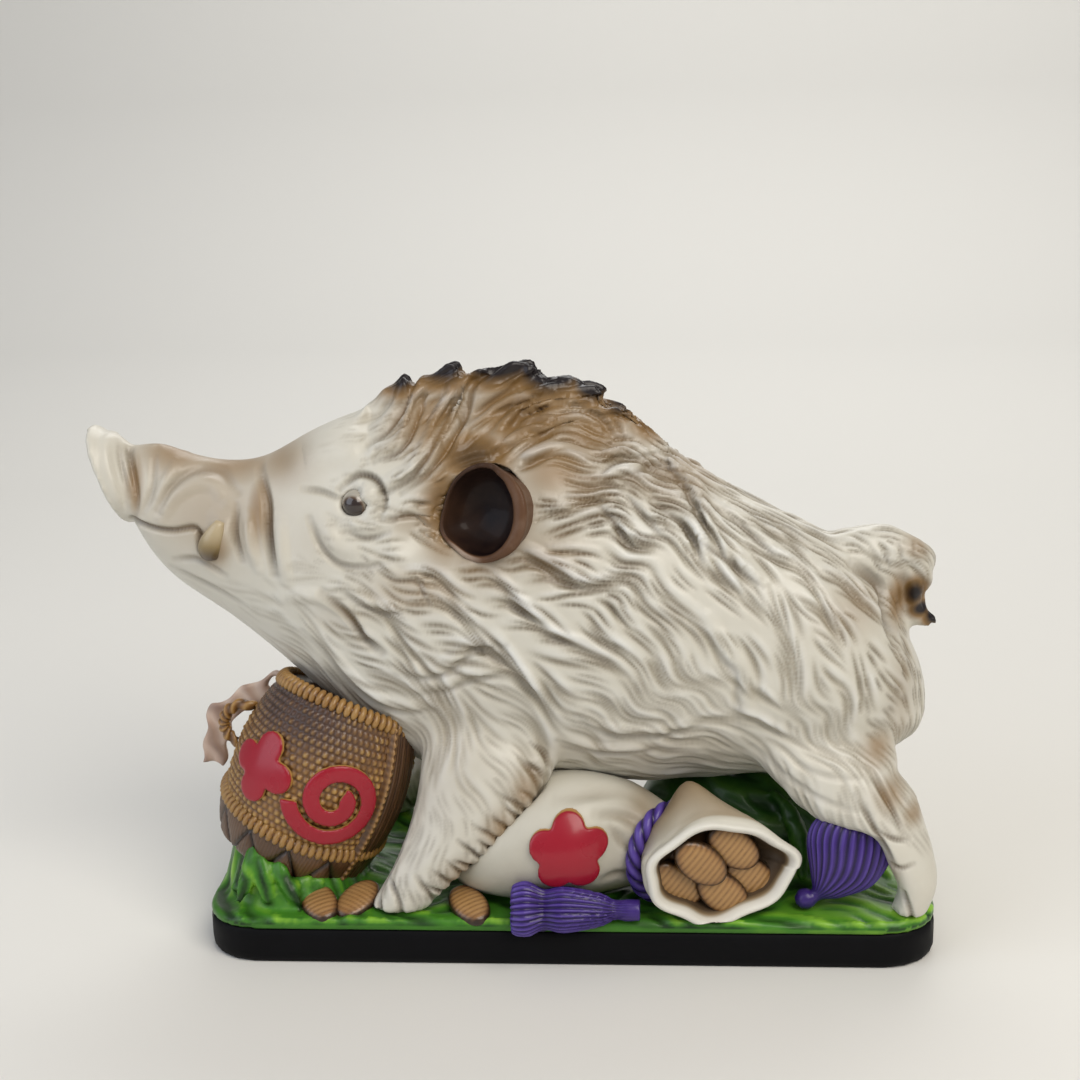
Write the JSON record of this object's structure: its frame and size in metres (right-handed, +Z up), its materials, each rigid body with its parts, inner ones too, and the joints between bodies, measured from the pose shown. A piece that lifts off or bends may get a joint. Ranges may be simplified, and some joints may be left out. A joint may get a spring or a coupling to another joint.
{
  "type": "boar figurine",
  "caption": "White lucky boar ornament standing on a grassy black plinth over a straw keg and an open coin sack with tassels.",
  "frame": {"origin": "centre of the plinth's underside", "axes": "+X along the boar from snout to tail, the boar faces -X; -Y is the show side; +Z up"},
  "size_m": [0.2771, 0.1055, 0.1886],
  "materials": {
    "coat_pearl": "pearl white paint with a brown wash in the combed grooves, satin lacquer",
    "mane_brown": "sprayed dark brown fading into the coat, satin lacquer",
    "ear_brown": "glossy purple-brown in the cup, brown rim",
    "eye_brown": "gloss brown paint",
    "tusk_ivory": "ivory paint, satin",
    "base_black": "gloss black paint",
    "ground_green": "green paint, bright on the ridges, satin",
    "straw_gold": "gold-brown paint over woven straw relief, satin",
    "straw_dark": "dark brown paint, satin",
    "ornament_red": "gloss red paint",
    "streamer_pink": "matt pinkish paint",
    "sack_white": "off-white paint with brown shading, matt",
    "cord_purple": "purple paint, satin",
    "coin_bronze": "bronze paint, brushed highlights"
  },
  "bodies": {
    "root": {"coin_bed": "coin_bronze", "front_left_leg": "coat_pearl", "front_right_leg": "coat_pearl", "front_tassel": "cord_purple", "grass_bank": "ground_green", "grass_tuft": "ground_green", "ground": "ground_green", "ground_coin_1": "coin_bronze", "ground_coin_2": "coin_bronze", "ground_coin_3": "coin_bronze", "head_shell": "coat_pearl", "hind_left_leg": "coat_pearl", "hind_right_leg": "coat_pearl", "keg_blossom": "ornament_red", "keg_body": "straw_gold", "keg_loop": "straw_gold", "keg_lower_rope": "straw_gold", "keg_lower_skirt": "straw_dark", "keg_scroll": "ornament_red", "keg_strap": "straw_dark", "keg_upper_rope": "straw_gold", "keg_upper_skirt": "straw_dark", "left_ear": "ear_brown", "left_eye": "eye_brown", "left_tusk": "tusk_ivory", "mane_crest": "mane_brown", "paper_streamer": "streamer_pink", "plinth": "base_black", "rear_tassel": "cord_purple", "right_ear": "ear_brown", "right_eye": "eye_brown", "right_tusk": "tusk_ivory", "sack_blossom": "ornament_red", "sack_body": "sack_white", "sack_coin_1": "coin_bronze", "sack_coin_2": "coin_bronze", "sack_coin_3": "coin_bronze", "sack_coin_4": "coin_bronze", "sack_coin_5": "coin_bronze", "sack_collar": "sack_white", "sack_tie": "cord_purple", "snout_disc": "coat_pearl", "tail": "coat_pearl", "torso_shell": "coat_pearl"}
  },
  "joints": []
}
